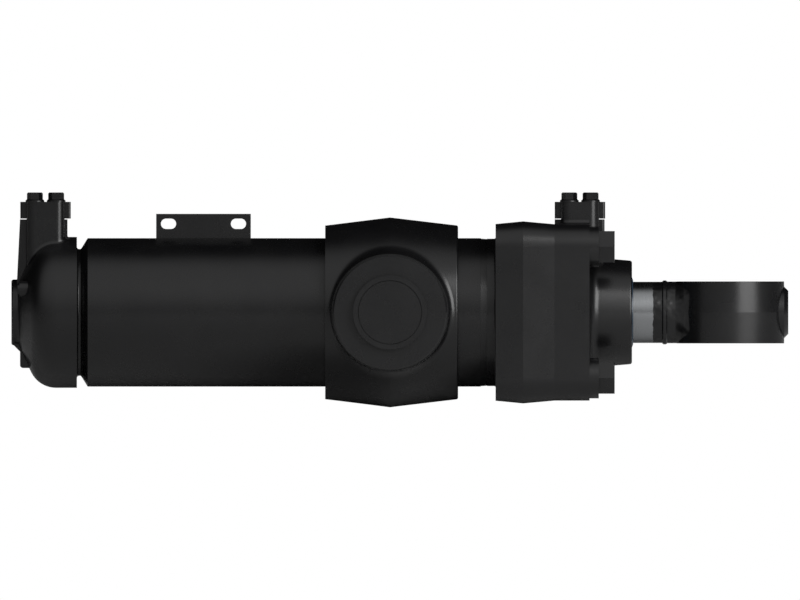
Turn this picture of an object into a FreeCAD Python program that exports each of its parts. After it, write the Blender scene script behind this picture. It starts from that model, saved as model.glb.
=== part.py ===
import FreeCAD, Part
import math
import os
from types import SimpleNamespace

import Sketcher
from FreeCAD import Placement, Rotation, Vector

# A trunnion mounted hydraulic cylinder, double acting, in millimetres.
# The origin is where the trunnion axis (Y) meets the cylinder's own axis (X).
# +X points at the rod eye, +Z at the two ports. The rod is drawn fully in.

doc = FreeCAD.newDocument("HydraulicCylinder")

# Driving dimensions
sizes = {
    # Tube, rod and travel
    "barrel_dia": 194.0,
    "barrel_wall": 17.0,
    "rod_dia": 80.0,
    "stroke": 450.0,
    "end_gap": 2.0,
    # Clearances between pieces
    "spigot_clearance": 0.05,
    "guide_clearance": 0.08,
    "rod_bush_clearance": 0.05,
    "seal_clearance": 0.3,
    "land_clearance": 0.5,
    "thread_clearance": 0.05,
    "bolt_hole_clearance": 0.6,
    "ball_clearance": 0.08,
    "ring_play": 0.1,
    "hex_cut_margin": 2.0,
    # Weld grooves
    "cap_weld_width": 6.0,
    "cap_weld_depth": 2.8,
    "cap_weld_fillet": 3.0,
    "barrel_nose": 4.0,
    "barrel_bevel_length": 8.1,
    "head_weld_half_width": 4.2,
    "head_weld_root": 2.0,
    "head_weld_sink": 0.5,
    # Cap end casting
    "cap_rim_stand": 1.6,
    "cap_rim_length": 27.3,
    "cap_corner_radius": 36.0,
    "cap_dome_angle": 26.0,
    "cap_length": 85.6,
    "cap_boss_dia": 86.0,
    "cap_boss_edge": 3.0,
    "cap_boss_base": 4.0,
    "cap_recess": 4.0,
    "cap_chamber_room": 12.9,
    "cap_chamber_depth": 38.8,
    "cap_chamber_corner": 18.0,
    "cap_port_offset": 41.0,
    "cap_fin_back": 33.4,
    "cap_fin_front": 28.7,
    "cap_fin_draft": 3.6,
    "cap_fin_foot_height": 47.6,
    "cap_fin_foot_radius": 5.0,
    "cap_tower_root": 30.0,
    "cap_rib_back": 74.3,
    "cap_rib_bottom": 72.7,
    "cap_rib_length": 37.2,
    "cap_rib_width": 28.0,
    "cap_rib_corner": 4.0,
    "cap_rib_gusset": 8.3,
    "cap_gusset_sink": 2.0,
    # Bleed plug beside the back boss
    "bleed_side": 50.0,
    "bleed_height": 30.0,
    "bleed_boss_dia": 22.0,
    "bleed_boss_back": 75.0,
    "bleed_plug_dia": 16.0,
    "bleed_plug_depth": 12.0,
    "bleed_plug_stand": 2.5,
    "bleed_socket_flats": 7.0,
    "bleed_socket_depth": 5.0,
    # Port pads and their covers
    "port_pad_rise": 6.3,
    "port_foot_radius": 6.0,
    "port_bore_dia": 25.0,
    "port_pitch_across": 27.76,
    "port_pitch_along": 57.15,
    "port_corner_radius": 11.0,
    "port_wing_across": 66.0,
    "port_wing_along": 44.0,
    "port_wing_corner": 3.0,
    "port_cover_thickness": 22.9,
    "port_wing_relief": 1.0,
    "port_thread_dia": 12.0,
    "port_thread_depth": 20.0,
    "port_thread_spare": 2.0,
    "port_head_flats": 18.0,
    "port_head_height": 12.3,
    "port_head_flange_dia": 24.6,
    "port_head_flange_height": 3.4,
    "port_seal_dia": 38.0,
    "port_seal_section": 3.0,
    # Trunnion band
    "band_left": 84.7,
    "band_right": 89.0,
    "band_wall": 16.5,
    "band_crest_rise": 10.6,
    "band_edge_radius": 2.5,
    "pin_dia": 150.0,
    "pin_stand": 75.9,
    "pin_journal_length": 66.0,
    "pin_root_step": 1.5,
    "pin_base_radius": 8.0,
    "pin_base_room": 0.1,
    "pin_edge_chamfer": 2.0,
    "pin_hub_dia": 96.8,
    "pin_hub_height": 10.0,
    "pin_plug_dia": 82.0,
    "pin_plug_gap": 0.9,
    "pin_plug_thickness": 8.0,
    # Hose bracket
    "bracket_middle": 243.75,
    "bracket_length": 123.7,
    "bracket_rise": 31.8,
    "bracket_thickness": 8.0,
    "bracket_slot_pitch": 91.4,
    "bracket_slot_length": 19.9,
    "bracket_slot_width": 13.5,
    "bracket_slot_drop": 13.0,
    # Head flange
    "barrel_weld_at": 122.6,
    "neck_drop": 0.7,
    "flange_back_at": 138.0,
    "flange_crest_at": 174.0,
    "flange_face_at": 215.0,
    "flange_back_stand": 0.2,
    "flange_crest_stand": 3.7,
    "head_margin": 18.3,
    "flange_neck_radius": 2.0,
    # Gland and its bolts
    "gland_bolt_inset": 29.5,
    "gland_block_length": 45.8,
    "gland_boss_dia": 53.2,
    "gland_boss_height": 12.1,
    "gland_boss_flat": 0.5,
    "gland_thread_dia": 27.0,
    "gland_thread_engaged": 43.0,
    "gland_thread_spare": 8.0,
    "gland_head_flats": 41.0,
    "gland_head_height": 20.8,
    "nose_length": 101.3,
    "nose_base_radius": 14.0,
    "nose_base_dia": 142.0,
    "nose_end_dia": 135.6,
    "nose_edge_radius": 3.0,
    "spigot_length": 84.2,
    "head_port_at": 248.3,
    "head_wing_front": 32.2,
    "head_tower_root": 55.0,
    # Inside of the gland
    "gallery_wall": 18.0,
    "gallery_start": 35.2,
    "gallery_end": 131.2,
    "oilway_dia": 14.0,
    "oilway_inset": 8.0,
    "oilway_overrun": 2.0,
    "oilway_count": 6.0,
    "guide_width": 19.8,
    "guide_thickness": 2.9,
    "guide_inner_at": 6.0,
    "guide_outer_at": 137.0,
    "buffer_at": 158.6,
    "buffer_width": 6.1,
    "buffer_depth": 5.5,
    "rod_seal_at": 168.4,
    "rod_seal_width": 8.6,
    "rod_seal_depth": 7.0,
    "wiper_width": 6.0,
    "wiper_depth": 6.0,
    "wiper_lip": 1.5,
    "seal_lips_per_depth": 6.0,
    "seal_notches_per_width": 3.0,
    "gland_groove_at": 58.0,
    "gland_ring_section": 5.0,
    "backup_width": 2.5,
    # Piston and its rings
    "piston_length": 90.0,
    "piston_edge": 3.0,
    "piston_shoulder": 10.0,
    "wear_ring_width": 15.0,
    "wear_ring_thickness": 2.4,
    "wear_ring_inset": 6.0,
    "piston_groove_depth": 10.2,
    "piston_seal_width": 8.2,
    "piston_seal_thickness": 4.6,
    "pilot_dia": 60.0,
    "stub_thread_dia": 56.0,
    "stub_overrun": 2.0,
    "stub_chamfer": 2.0,
    "nut_flats": 85.0,
    "nut_height": 30.0,
    "set_screw_dia": 8.0,
    "set_screw_length": 12.0,
    "pilot_seal_section": 3.0,
    "pilot_seal_at": 45.0,
    # Rod eye
    "rod_show": 42.7,
    "flash_half_width": 3.5,
    "flash_height": 1.8,
    "shank_dia": 80.6,
    "shank_length": 86.0,
    "eye_ring_dia": 142.6,
    "eye_thickness": 81.0,
    "eye_draft": 1.2,
    "neck_start": 72.0,
    "neck_end": 44.0,
    "neck_end_half": 54.0,
    "neck_corner_share": 0.85,
    "pad_stand": 4.3,
    "pad_dia": 67.0,
    "pad_bevel": 5.3,
    "grease_plug_dia": 10.0,
    "grease_plug_length": 9.0,
    "grease_plug_sink": 1.0,
    "grease_hole_dia": 5.0,
    # Spherical plain bearing in the eye
    "pin_bore_dia": 70.0,
    "ball_dia": 92.0,
    "ball_width": 49.0,
    "race_dia": 105.0,
    "race_width": 40.0,
    "circlip_width": 4.0,
    "circlip_groove": 2.0,
    "circlip_inner_dia": 94.0,
    "circlip_eye_gap": 14.0,
    "dust_seal_inner_dia": 83.0,
    "dust_seal_at": 26.0,
    "dust_seal_width": 7.0,
    "dust_seal_slant": 2.3,
    "eye_mouth_chamfer": 2.0,
}

sheet = doc.addObject("Spreadsheet::Sheet", "Sizes")
for row, (alias, number) in enumerate(sizes.items(), start=1):
    sheet.set(f"A{row}", alias)
    sheet.set(f"B{row}", str(number))
    sheet.setAlias(f"B{row}", alias)
doc.recompute()


# A size carries its number and the sheet expression that gives it, so a
# sketch's first geometry and the expression that drives it always agree.
class Size:
    def __init__(self, value, text):
        self.value = value
        self.text = text

    def __add__(self, other):
        other = as_size(other)
        return Size(self.value + other.value, f"({self.text} + {other.text})")

    def __sub__(self, other):
        other = as_size(other)
        return Size(self.value - other.value, f"({self.text} - {other.text})")

    def __mul__(self, other):
        other = as_size(other)
        return Size(self.value * other.value, f"({self.text} * {other.text})")

    def __truediv__(self, other):
        other = as_size(other)
        return Size(self.value / other.value, f"({self.text} / {other.text})")

    def __neg__(self):
        return Size(-self.value, f"(0 - {self.text})")


def as_size(item):
    return item if isinstance(item, Size) else Size(float(item), str(float(item)))


def root(item):
    return Size(math.sqrt(item.value), f"sqrt({item.text})")


def smaller(first, second):
    return Size(min(first.value, second.value), f"min({first.text}; {second.text})")


def sine(degrees):
    return Size(math.sin(math.radians(degrees.value)), f"sin({degrees.text} * 1deg)")


def cosine(degrees):
    return Size(math.cos(math.radians(degrees.value)), f"cos({degrees.text} * 1deg)")


NECK_SECTIONS = 5
PIN_FOOT_ANGLES = (45, 135, 225, 315)
size = SimpleNamespace(**{alias: Size(number, f"Sizes.{alias}") for alias, number in sizes.items()})
zero = as_size(0)


# Drawing helpers
def new_body(label):
    body = doc.addObject("PartDesign::Body", label)
    body.Label = label
    return body


def place(item, along=zero, across=zero, up=zero, turn=None):
    item.Placement = Placement(Vector(along.value, across.value, up.value), turn or Rotation())
    item.setExpression("Placement.Base.x", along.text)
    item.setExpression("Placement.Base.y", across.text)
    item.setExpression("Placement.Base.z", up.text)
    return item


def sketch_on(body, role, height=zero):
    sketch = body.newObject("Sketcher::SketchObject", f"{body.Label}_sketch")
    plane = [feature for feature in body.Origin.OriginFeatures if feature.Role == role][0]
    sketch.AttachmentSupport = (plane, [""])
    sketch.MapMode = "FlatFace"
    sketch.AttachmentOffset = Placement(Vector(0, 0, height.value), Rotation())
    sketch.setExpression("AttachmentOffset.Base.z", height.text)
    return sketch


def hold(sketch, kind, *where, at):
    index = sketch.addConstraint(Sketcher.Constraint(kind, *where, at.value))
    sketch.setExpression(f"Constraints[{index}]", at.text)


# A closed loop through corners (across, up). A corner with a radius and a
# side starts an arc that bulges to the left (1) or right (-1) of the way on.
def outline(sketch, corners):
    corners = [tuple(as_size(item) for item in corner[:3]) + tuple(corner[3:]) for corner in corners]
    first = sketch.GeometryCount
    ends = []
    for index, corner in enumerate(corners):
        following = corners[(index + 1) % len(corners)]
        start = Vector(corner[0].value, corner[1].value, 0)
        end = Vector(following[0].value, following[1].value, 0)
        if len(corner) == 2:
            sketch.addGeometry(Part.LineSegment(start, end), False)
            ends.append((1, 2))
            continue
        radius, side = corner[2].value, corner[3]
        chord = end - start
        left = Vector(-chord.y, chord.x, 0).normalize()
        centre = (start + end) / 2 - left * side * math.sqrt(radius**2 - (chord.Length / 2) ** 2)
        angles = [math.atan2(point.y - centre.y, point.x - centre.x) for point in (start, end)]
        circle = Part.Circle(centre, Vector(0, 0, 1), radius)
        clockwise = side == 1
        if clockwise:
            angles.reverse()
        sketch.addGeometry(Part.ArcOfCircle(circle, angles[0], angles[1]), False)
        ends.append((2, 1) if clockwise else (1, 2))
    for index, corner in enumerate(corners):
        after = (index + 1) % len(corners)
        joint = (first + index, ends[index][1], first + after, ends[after][0])
        sketch.addConstraint(Sketcher.Constraint("Coincident", *joint))
        hold(sketch, "DistanceX", -1, 1, first + index, ends[index][0], at=corner[0])
        hold(sketch, "DistanceY", -1, 1, first + index, ends[index][0], at=corner[1])
        if len(corner) == 4:
            hold(sketch, "Radius", first + index, at=corner[2])
    return sketch


def circle(sketch, across, up, radius):
    shape = Part.Circle(Vector(across.value, up.value, 0), Vector(0, 0, 1), radius.value)
    index = sketch.addGeometry(shape, False)
    hold(sketch, "DistanceX", -1, 1, index, 3, at=across)
    hold(sketch, "DistanceY", -1, 1, index, 3, at=up)
    hold(sketch, "Radius", index, at=radius)
    return sketch


def rectangle(sketch, left, right, low, high):
    return outline(sketch, [(left, low), (right, low), (right, high), (left, high)])


def rounded_rectangle(sketch, left, right, low, high, radius):
    return outline(
        sketch,
        [
            (left + radius, low),
            (right - radius, low, radius, -1),
            (right, low + radius),
            (right, high - radius, radius, -1),
            (right - radius, high),
            (left + radius, high, radius, -1),
            (left, high - radius),
            (left, low + radius, radius, -1),
        ],
    )


# A hexagon with two flats square to the sketch's second axis, or to its first when turned.
def hexagon(sketch, across, up, flats, turned=False):
    half = flats / 2
    corner = flats / math.sqrt(3.0)
    points = [
        (corner, zero),
        (corner / 2, half),
        (-corner / 2, half),
        (-corner, zero),
        (-corner / 2, -half),
        (corner / 2, -half),
    ]
    if turned:
        points = [(second, first) for first, second in reversed(points)]
    return outline(sketch, [(across + first, up + second) for first, second in points])


def feature(body, kind, sketch=None):
    item = body.newObject(f"PartDesign::{kind}", f"{body.Label}_{kind.lower()}")
    if sketch is not None:
        item.Profile = sketch
    return item


def pad(body, sketch, length, backwards=False, middle=False):
    item = feature(body, "Pad", sketch)
    item.setExpression("Length", length.text)
    item.Reversed = backwards
    if middle:
        item.SideType = "Symmetric"
    return item


def pocket(body, sketch, length, backwards=False, middle=False):
    item = feature(body, "Pocket", sketch)
    item.setExpression("Length", length.text)
    item.Reversed = backwards
    if middle:
        item.SideType = "Symmetric"
    return item


def spun(body, sketch, axis="H_Axis", cut=False):
    item = feature(body, "Groove" if cut else "Revolution", sketch)
    item.ReferenceAxis = (sketch, [axis])
    item.Angle = 360.0
    return item


# Rounds or bevels the edges of the body's last feature that pass through the given points.
def soften(body, kind, points, amount):
    doc.recompute()
    last = body.Tip
    names = []
    for number, edge in enumerate(last.Shape.Edges, start=1):
        for point in points:
            if edge.distToShape(Part.Vertex(point))[0] < 0.01 and f"Edge{number}" not in names:
                names.append(f"Edge{number}")
    item = body.newObject(f"PartDesign::{kind}", f"{body.Label}_{kind.lower()}")
    item.Base = (last, names)
    item.setExpression("Radius" if kind == "Fillet" else "Size", amount.text)
    return item


# A turned piece on the cylinder's own axis: corners are (station, radius).
def turned(label, corners):
    body = new_body(label)
    spun(body, outline(sketch_on(body, "XZ_Plane"), corners))
    return body


def ring(label, start, width, inner, outer):
    return turned(label, [(start, inner), (start + width, inner), (start + width, outer), (start, outer)])


def round_ring(label, middle, dia, section):
    item = doc.addObject("Part::Torus", label)
    item.Label = label
    item.setExpression("Radius1", (dia / 2).text)
    item.setExpression("Radius2", (section / 2).text)
    return place(item, middle, turn=Rotation(Vector(0, 1, 0), 90))


# Stations along the axis and main radii
barrel_r = size.barrel_dia / 2
bore_r = barrel_r - size.barrel_wall
neck_r = barrel_r - size.neck_drop
head_half = barrel_r + size.head_margin
bolt_half = head_half - size.gland_bolt_inset
band_end_r = barrel_r + size.band_wall
band_crest_r = band_end_r + size.band_crest_rise
pin_reach = band_crest_r + size.pin_stand
gallery_r = bore_r - size.gallery_wall
nut_corner_r = size.nut_flats / math.sqrt(3.0)
rod_r = size.rod_dia / 2
flange_face = size.flange_face_at
gland_start = flange_face - size.spigot_length
piston_front = gland_start - size.end_gap - size.stroke
piston_back = piston_front - size.piston_length
cap_stop = piston_back - size.end_gap
cap_face = cap_stop + size.cap_recess
barrel_start = cap_face + size.cap_weld_width
barrel_end = size.barrel_weld_at
nose_face = flange_face + size.nose_length
eye_weld = nose_face + size.rod_show
eye_middle = eye_weld + size.shank_length
pad_height = head_half + size.port_pad_rise
bolt_across = size.port_pitch_across / 2
bolt_along = size.port_pitch_along / 2
lobe_across = bolt_across + size.port_corner_radius
lobe_along = bolt_along + size.port_corner_radius
wing_across = size.port_wing_across / 2
wing_along = size.port_wing_along / 2


# Barrel: a thick tube with a long bevel at the cap and half of a V at the head
def make_barrel():
    return turned(
        "barrel",
        [
            (barrel_start, bore_r),
            (barrel_end, bore_r),
            (barrel_end, bore_r + size.head_weld_root),
            (barrel_end - size.head_weld_half_width, barrel_r),
            (barrel_start + size.barrel_bevel_length, barrel_r),
            (barrel_start, bore_r + size.barrel_nose),
        ],
    )


# Root run at the bottom of the open groove between cap and barrel
def make_cap_weld():
    fillet = size.cap_weld_fillet
    floor = bore_r + size.cap_weld_depth
    rise = size.barrel_nose - size.cap_weld_depth
    return turned(
        "cap_weld",
        [
            (cap_face, bore_r),
            (barrel_start, bore_r),
            (barrel_start, floor + rise),
            (barrel_start - rise, floor),
            (cap_face + fillet, floor, fillet, 1),
            (cap_face, floor + fillet),
        ],
    )


# Seam between barrel and neck, a V whose face lies just under the tube's surface
def make_head_weld():
    half = size.head_weld_half_width
    floor = bore_r + size.head_weld_root
    left = half * (barrel_r - size.head_weld_sink - floor) / (barrel_r - floor)
    right = half * (neck_r - size.head_weld_sink - floor) / (neck_r - floor)
    return turned(
        "head_weld",
        [
            (barrel_end, floor),
            (barrel_end + right, neck_r - size.head_weld_sink),
            (barrel_end - left, barrel_r - size.head_weld_sink),
        ],
    )


# The port pad's two outlines: long lobes that carry the bolts, and wider wings between them
def lobes(sketch, middle):
    return rounded_rectangle(
        sketch, middle - lobe_across, middle + lobe_across, -lobe_along, lobe_along, size.port_corner_radius
    )


def port_threads(body, middle, height):
    sketch = sketch_on(body, "XY_Plane", height)
    for across in (middle - bolt_across, middle + bolt_across):
        for along in (-bolt_along, bolt_along):
            circle(sketch, across, along, size.port_thread_dia / 2 + size.thread_clearance)
    pocket(body, sketch, size.port_thread_depth)


# Cap end: domed casting with a port tower, a fin down its back, a round boss and a rib below it
def make_cap_end():
    body = new_body("cap_end")
    cap_r = barrel_r + size.cap_rim_stand
    corner = size.cap_corner_radius
    rim_end = cap_face - size.cap_rim_length
    back = cap_face - size.cap_length
    dome_x = rim_end - corner * cosine(size.cap_dome_angle)
    dome_r = cap_r - corner + corner * sine(size.cap_dome_angle)
    boss_r = size.cap_boss_dia / 2
    slope = sine(size.cap_dome_angle) / cosine(size.cap_dome_angle)
    boss_x = dome_x - (dome_r - boss_r) * slope
    base = size.cap_boss_base
    base_rise = base - base * sine(size.cap_dome_angle)
    base_run = base_rise / cosine(size.cap_dome_angle)
    edge = size.cap_boss_edge
    profile = outline(
        sketch_on(body, "XZ_Plane"),
        [
            (cap_face, zero),
            (cap_face, cap_r),
            (rim_end, cap_r, corner, -1),
            (dome_x, dome_r),
            (boss_x + base_run * sine(size.cap_dome_angle), boss_r + base_rise, base, 1),
            (boss_x - base_run, boss_r),
            (back + edge, boss_r, edge, -1),
            (back, boss_r - edge),
            (back, zero),
        ],
    )
    spun(body, profile)
    middle = cap_face - size.cap_port_offset
    top = pad_height
    pad(body, lobes(sketch_on(body, "XY_Plane", top), middle), top - size.cap_tower_root, backwards=True)
    dome_here = cap_r - corner + root(corner * corner - (middle - rim_end) * (middle - rim_end))
    foot = root(dome_here * dome_here - lobe_along * lobe_along)
    soften(body, "Fillet", [Vector(middle.value, -lobe_along.value, foot.value)], size.port_foot_radius)
    fin_back = middle - size.cap_fin_back
    fin_front = middle + size.cap_fin_front
    fin_drop = (top - size.cap_tower_root) / (top - size.cap_fin_foot_height)
    fin_foot = root(cap_r * cap_r - wing_along * wing_along)
    flare = size.cap_fin_foot_radius
    fin = outline(
        sketch_on(body, "XZ_Plane"),
        [
            (fin_back, top),
            (fin_back - size.cap_fin_draft * fin_drop, size.cap_tower_root),
            (fin_front + flare, size.cap_tower_root),
            (fin_front + flare, fin_foot, flare, 1),
            (fin_front, fin_foot + flare),
            (fin_front, top),
        ],
    )
    pad(body, fin, size.port_wing_along, middle=True)
    rib_back = cap_face - size.cap_rib_back
    rib_low = -size.cap_rib_bottom
    rib_in = rib_back + size.cap_rib_length
    rib_corner = size.cap_rib_corner
    gusset = size.cap_rib_gusset
    rib = outline(
        sketch_on(body, "XZ_Plane"),
        [
            (rib_back, -boss_r - gusset),
            (rib_back, rib_low + rib_corner, rib_corner, -1),
            (rib_back + rib_corner, rib_low),
            (rib_in, rib_low),
            (rib_in, -size.cap_tower_root),
            (rib_back - gusset - size.cap_gusset_sink, -size.cap_tower_root),
            (rib_back - gusset - size.cap_gusset_sink, size.cap_gusset_sink - boss_r),
        ],
    )
    pad(body, rib, size.cap_rib_width, middle=True)
    bleed = sketch_on(body, "YZ_Plane", cap_face - size.bleed_boss_back)
    circle(bleed, -size.bleed_side, size.bleed_height, size.bleed_boss_dia / 2)
    pad(body, bleed, size.bleed_plug_depth)
    stop_r = nut_corner_r + size.cap_chamber_room
    floor = cap_face - size.cap_chamber_depth
    curve = size.cap_chamber_corner
    chamber = outline(
        sketch_on(body, "XZ_Plane"),
        [
            (cap_face, zero),
            (cap_face, bore_r),
            (cap_stop, bore_r),
            (cap_stop, stop_r),
            (floor + curve, stop_r, curve, -1),
            (floor, stop_r - curve),
            (floor, zero),
        ],
    )
    spun(body, chamber, cut=True)
    passage = circle(sketch_on(body, "XY_Plane", top), middle, zero, size.port_bore_dia / 2)
    pocket(body, passage, top)
    port_threads(body, middle, top)
    plug = sketch_on(body, "YZ_Plane", cap_face - size.bleed_boss_back)
    circle(plug, -size.bleed_side, size.bleed_height, size.bleed_plug_dia / 2 + size.thread_clearance)
    pocket(body, plug, size.bleed_plug_depth, backwards=True)
    return body


def make_bleed_plug():
    body = new_body("cap_bleed_plug")
    end = cap_face - size.bleed_boss_back
    head = sketch_on(body, "YZ_Plane", end - size.bleed_plug_stand)
    circle(head, -size.bleed_side, size.bleed_height, size.bleed_plug_dia / 2)
    pad(body, head, size.bleed_plug_stand + size.bleed_plug_depth)
    socket = sketch_on(body, "YZ_Plane", end - size.bleed_plug_stand)
    hexagon(socket, -size.bleed_side, size.bleed_height, size.bleed_socket_flats)
    pocket(body, socket, size.bleed_socket_depth, backwards=True)
    return body


# Blanking cover, drawn with the port's centre on the pad as its origin
def make_port_cover(label, station):
    body = new_body(label)
    thickness = size.port_cover_thickness
    relief = size.port_wing_relief
    pad(body, lobes(sketch_on(body, "XY_Plane"), zero), thickness)
    wings = rounded_rectangle(
        sketch_on(body, "XY_Plane", relief),
        -wing_across,
        wing_across,
        -wing_along,
        wing_along,
        size.port_wing_corner,
    )
    pad(body, wings, thickness - relief)
    holes = sketch_on(body, "XY_Plane")
    for across in (-bolt_across, bolt_across):
        for along in (-bolt_along, bolt_along):
            circle(holes, across, along, size.port_thread_dia / 2 + size.bolt_hole_clearance)
    pocket(body, holes, thickness, backwards=True)
    seal_r = size.port_seal_dia / 2
    reach = size.port_seal_section / 2 + size.ring_play
    groove = rectangle(
        sketch_on(body, "XZ_Plane"),
        seal_r - reach,
        seal_r + reach,
        zero,
        size.port_seal_section + size.ring_play,
    )
    spun(body, groove, "V_Axis", cut=True)
    return place(body, station, up=pad_height)


def make_port_seal(label, station):
    item = doc.addObject("Part::Torus", label)
    item.Label = label
    item.setExpression("Radius1", (size.port_seal_dia / 2).text)
    item.setExpression("Radius2", (size.port_seal_section / 2).text)
    lift = pad_height + size.port_seal_section / 2 + size.ring_play / 2
    return place(item, station, up=lift)


# Four flanged hex bolts. The head is turned round first, then its six flats are cut,
# which leaves the curved chamfer that a real head has.
def make_port_bolts(label, station):
    body = new_body(label)
    shank_r = size.port_thread_dia / 2
    flange_r = size.port_head_flange_dia / 2
    corner_r = size.port_head_flats / math.sqrt(3.0)
    flat_r = size.port_head_flats / 2
    chamfer = corner_r - flat_r
    length = size.port_cover_thickness + size.port_thread_depth - size.port_thread_spare
    shape = outline(
        sketch_on(body, "XZ_Plane"),
        [
            (zero, -length),
            (shank_r, -length),
            (shank_r, zero),
            (flange_r, zero),
            (flange_r, size.port_head_flange_height / 2),
            (corner_r, size.port_head_flange_height),
            (corner_r, size.port_head_height - chamfer),
            (flat_r, size.port_head_height),
            (zero, size.port_head_height),
        ],
    )
    spun(body, shape, "V_Axis")
    flats = sketch_on(body, "XY_Plane", size.port_head_flange_height)
    hexagon(flats, zero, zero, size.port_head_flats)
    circle(flats, zero, zero, flange_r)
    pocket(body, flats, size.port_head_height - size.port_head_flange_height, backwards=True)
    repeat(body, [("XY_Plane", "H_Axis", size.port_pitch_across), ("XY_Plane", "V_Axis", size.port_pitch_along)])
    return place(
        body,
        station - bolt_across,
        -bolt_along,
        pad_height + size.port_cover_thickness,
    )


# Copies what the body holds so far once more along each given axis
def repeat(body, steps):
    doc.recompute()
    originals = [item for item in body.Group if item.TypeId in ("PartDesign::Revolution", "PartDesign::Pocket")]
    grid = body.newObject("PartDesign::MultiTransform", f"{body.Label}_grid")
    grid.Originals = originals
    rows = []
    for plane, axis, pitch in steps:
        guide = sketch_on(body, plane)
        row = body.newObject("PartDesign::LinearPattern", f"{body.Label}_row")
        row.Direction = (guide, [axis])
        row.setExpression("Length", pitch.text)
        row.Occurrences = 2
        rows.append(row)
    grid.Transformations = rows
    body.Tip = grid


# Trunnion band: one forging, a ring that is thickest at its middle. Each pin has a ground
# journal for its bearing block, a slightly larger root, and a round flare at its base.
def make_trunnion_band():
    body = new_body("trunnion_band")
    pin_r = size.pin_dia / 2
    root_r = pin_r + size.pin_root_step
    profile = outline(
        sketch_on(body, "XZ_Plane"),
        [
            (-size.band_left, zero),
            (size.band_right, zero),
            (size.band_right, band_end_r),
            (zero, band_crest_r),
            (-size.band_left, band_end_r),
        ],
    )
    spun(body, profile)
    soften(body, "Fillet", [Vector(size.band_right.value, 0, band_end_r.value)], size.band_edge_radius)
    for side in (1, -1):
        reach = pin_reach * side
        hub = (pin_reach + size.pin_hub_height) * side
        shoulder = reach - (size.pin_edge_chamfer + size.pin_journal_length) * side
        shape = outline(
            sketch_on(body, "XY_Plane"),
            [
                (zero, zero),
                (root_r, zero),
                (root_r, shoulder),
                (pin_r, shoulder),
                (pin_r, reach - size.pin_edge_chamfer * side),
                (pin_r - size.pin_edge_chamfer, reach),
                (size.pin_hub_dia / 2, reach),
                (size.pin_hub_dia / 2, hub),
                (zero, hub),
            ],
        )
        spun(body, shape, "V_Axis")
        seat = outline(
            sketch_on(body, "XY_Plane"),
            [
                (zero, hub - size.pin_plug_thickness * side),
                (size.pin_plug_dia / 2 + size.pin_plug_gap, hub - size.pin_plug_thickness * side),
                (size.pin_plug_dia / 2 + size.pin_plug_gap, hub),
                (zero, hub),
            ],
        )
        spun(body, seat, "V_Axis", cut=True)
    room = size.band_left - root_r - size.pin_base_room
    soften(body, "Fillet", pin_feet(root_r.value), smaller(size.pin_base_radius, room))
    tube = circle(sketch_on(body, "YZ_Plane", -size.band_left), zero, zero, barrel_r)
    pocket(body, tube, size.band_left + size.band_right, backwards=True)
    return body


# Points where the roots of the two pins meet the ring's sloping sides, in all eight quarters
def pin_feet(root_r):
    end_r = band_end_r.value
    crest_r = band_crest_r.value
    points = []
    for turn in PIN_FOOT_ANGLES:
        across = root_r * math.cos(math.radians(turn))
        up = root_r * math.sin(math.radians(turn))
        length = size.band_right.value if across > 0 else size.band_left.value
        surface_r = crest_r - (crest_r - end_r) * abs(across) / length
        depth = math.sqrt(surface_r**2 - up**2)
        points += [Vector(across, depth, up), Vector(across, -depth, up)]
    return points


def make_trunnion_plug(label, side):
    body = new_body(label)
    hub = (pin_reach + size.pin_hub_height) * side
    disc = rectangle(
        sketch_on(body, "XY_Plane"), zero, size.pin_plug_dia / 2, hub - size.pin_plug_thickness * side, hub
    )
    spun(body, disc, "V_Axis")
    return body


# Hose bracket: a plate on edge along the barrel's crown, its foot cut to the tube
def make_hose_bracket():
    body = new_body("hose_bracket")
    half = size.bracket_thickness / 2
    foot = root(barrel_r * barrel_r - half * half)
    start = -size.bracket_middle - size.bracket_length / 2
    top = barrel_r + size.bracket_rise
    section = outline(
        sketch_on(body, "YZ_Plane", start),
        [(-half, foot, barrel_r, 1), (half, foot), (half, top), (-half, top)],
    )
    pad(body, section, size.bracket_length)
    slots = sketch_on(body, "XZ_Plane")
    for side in (-1, 1):
        slot(
            slots,
            -size.bracket_middle + size.bracket_slot_pitch * side / 2,
            top - size.bracket_slot_drop,
            size.bracket_slot_length,
            size.bracket_slot_width,
        )
    pocket(body, slots, size.bracket_thickness + size.land_clearance, middle=True)
    return body


def slot(sketch, across, up, length, width):
    radius = width / 2
    shift = length / 2 - radius
    left, right = across - shift, across + shift
    first = sketch.GeometryCount
    up_vector = Vector(0, 0, 1)
    for centre, start, end in ((left, 90, 270), (right, -90, 90)):
        shape = Part.Circle(Vector(centre.value, up.value, 0), up_vector, radius.value)
        sketch.addGeometry(Part.ArcOfCircle(shape, math.radians(start), math.radians(end)), False)
    for side in (-1, 1):
        level = up.value + side * radius.value
        ends = [Vector(left.value, level, 0), Vector(right.value, level, 0)]
        sketch.addGeometry(Part.LineSegment(*ends), False)
    low, high = first + 2, first + 3
    for joint in (
        (low, 1, first, 2),
        (low, 2, first + 1, 1),
        (high, 1, first, 1),
        (high, 2, first + 1, 2),
    ):
        sketch.addConstraint(Sketcher.Constraint("Tangent", *joint))
    for index, centre in ((first, left), (first + 1, right)):
        hold(sketch, "DistanceX", -1, 1, index, 3, at=centre)
        hold(sketch, "DistanceY", -1, 1, index, 3, at=up)
    sketch.addConstraint(Sketcher.Constraint("Equal", first, first + 1))
    hold(sketch, "Radius", first, at=radius)


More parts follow.
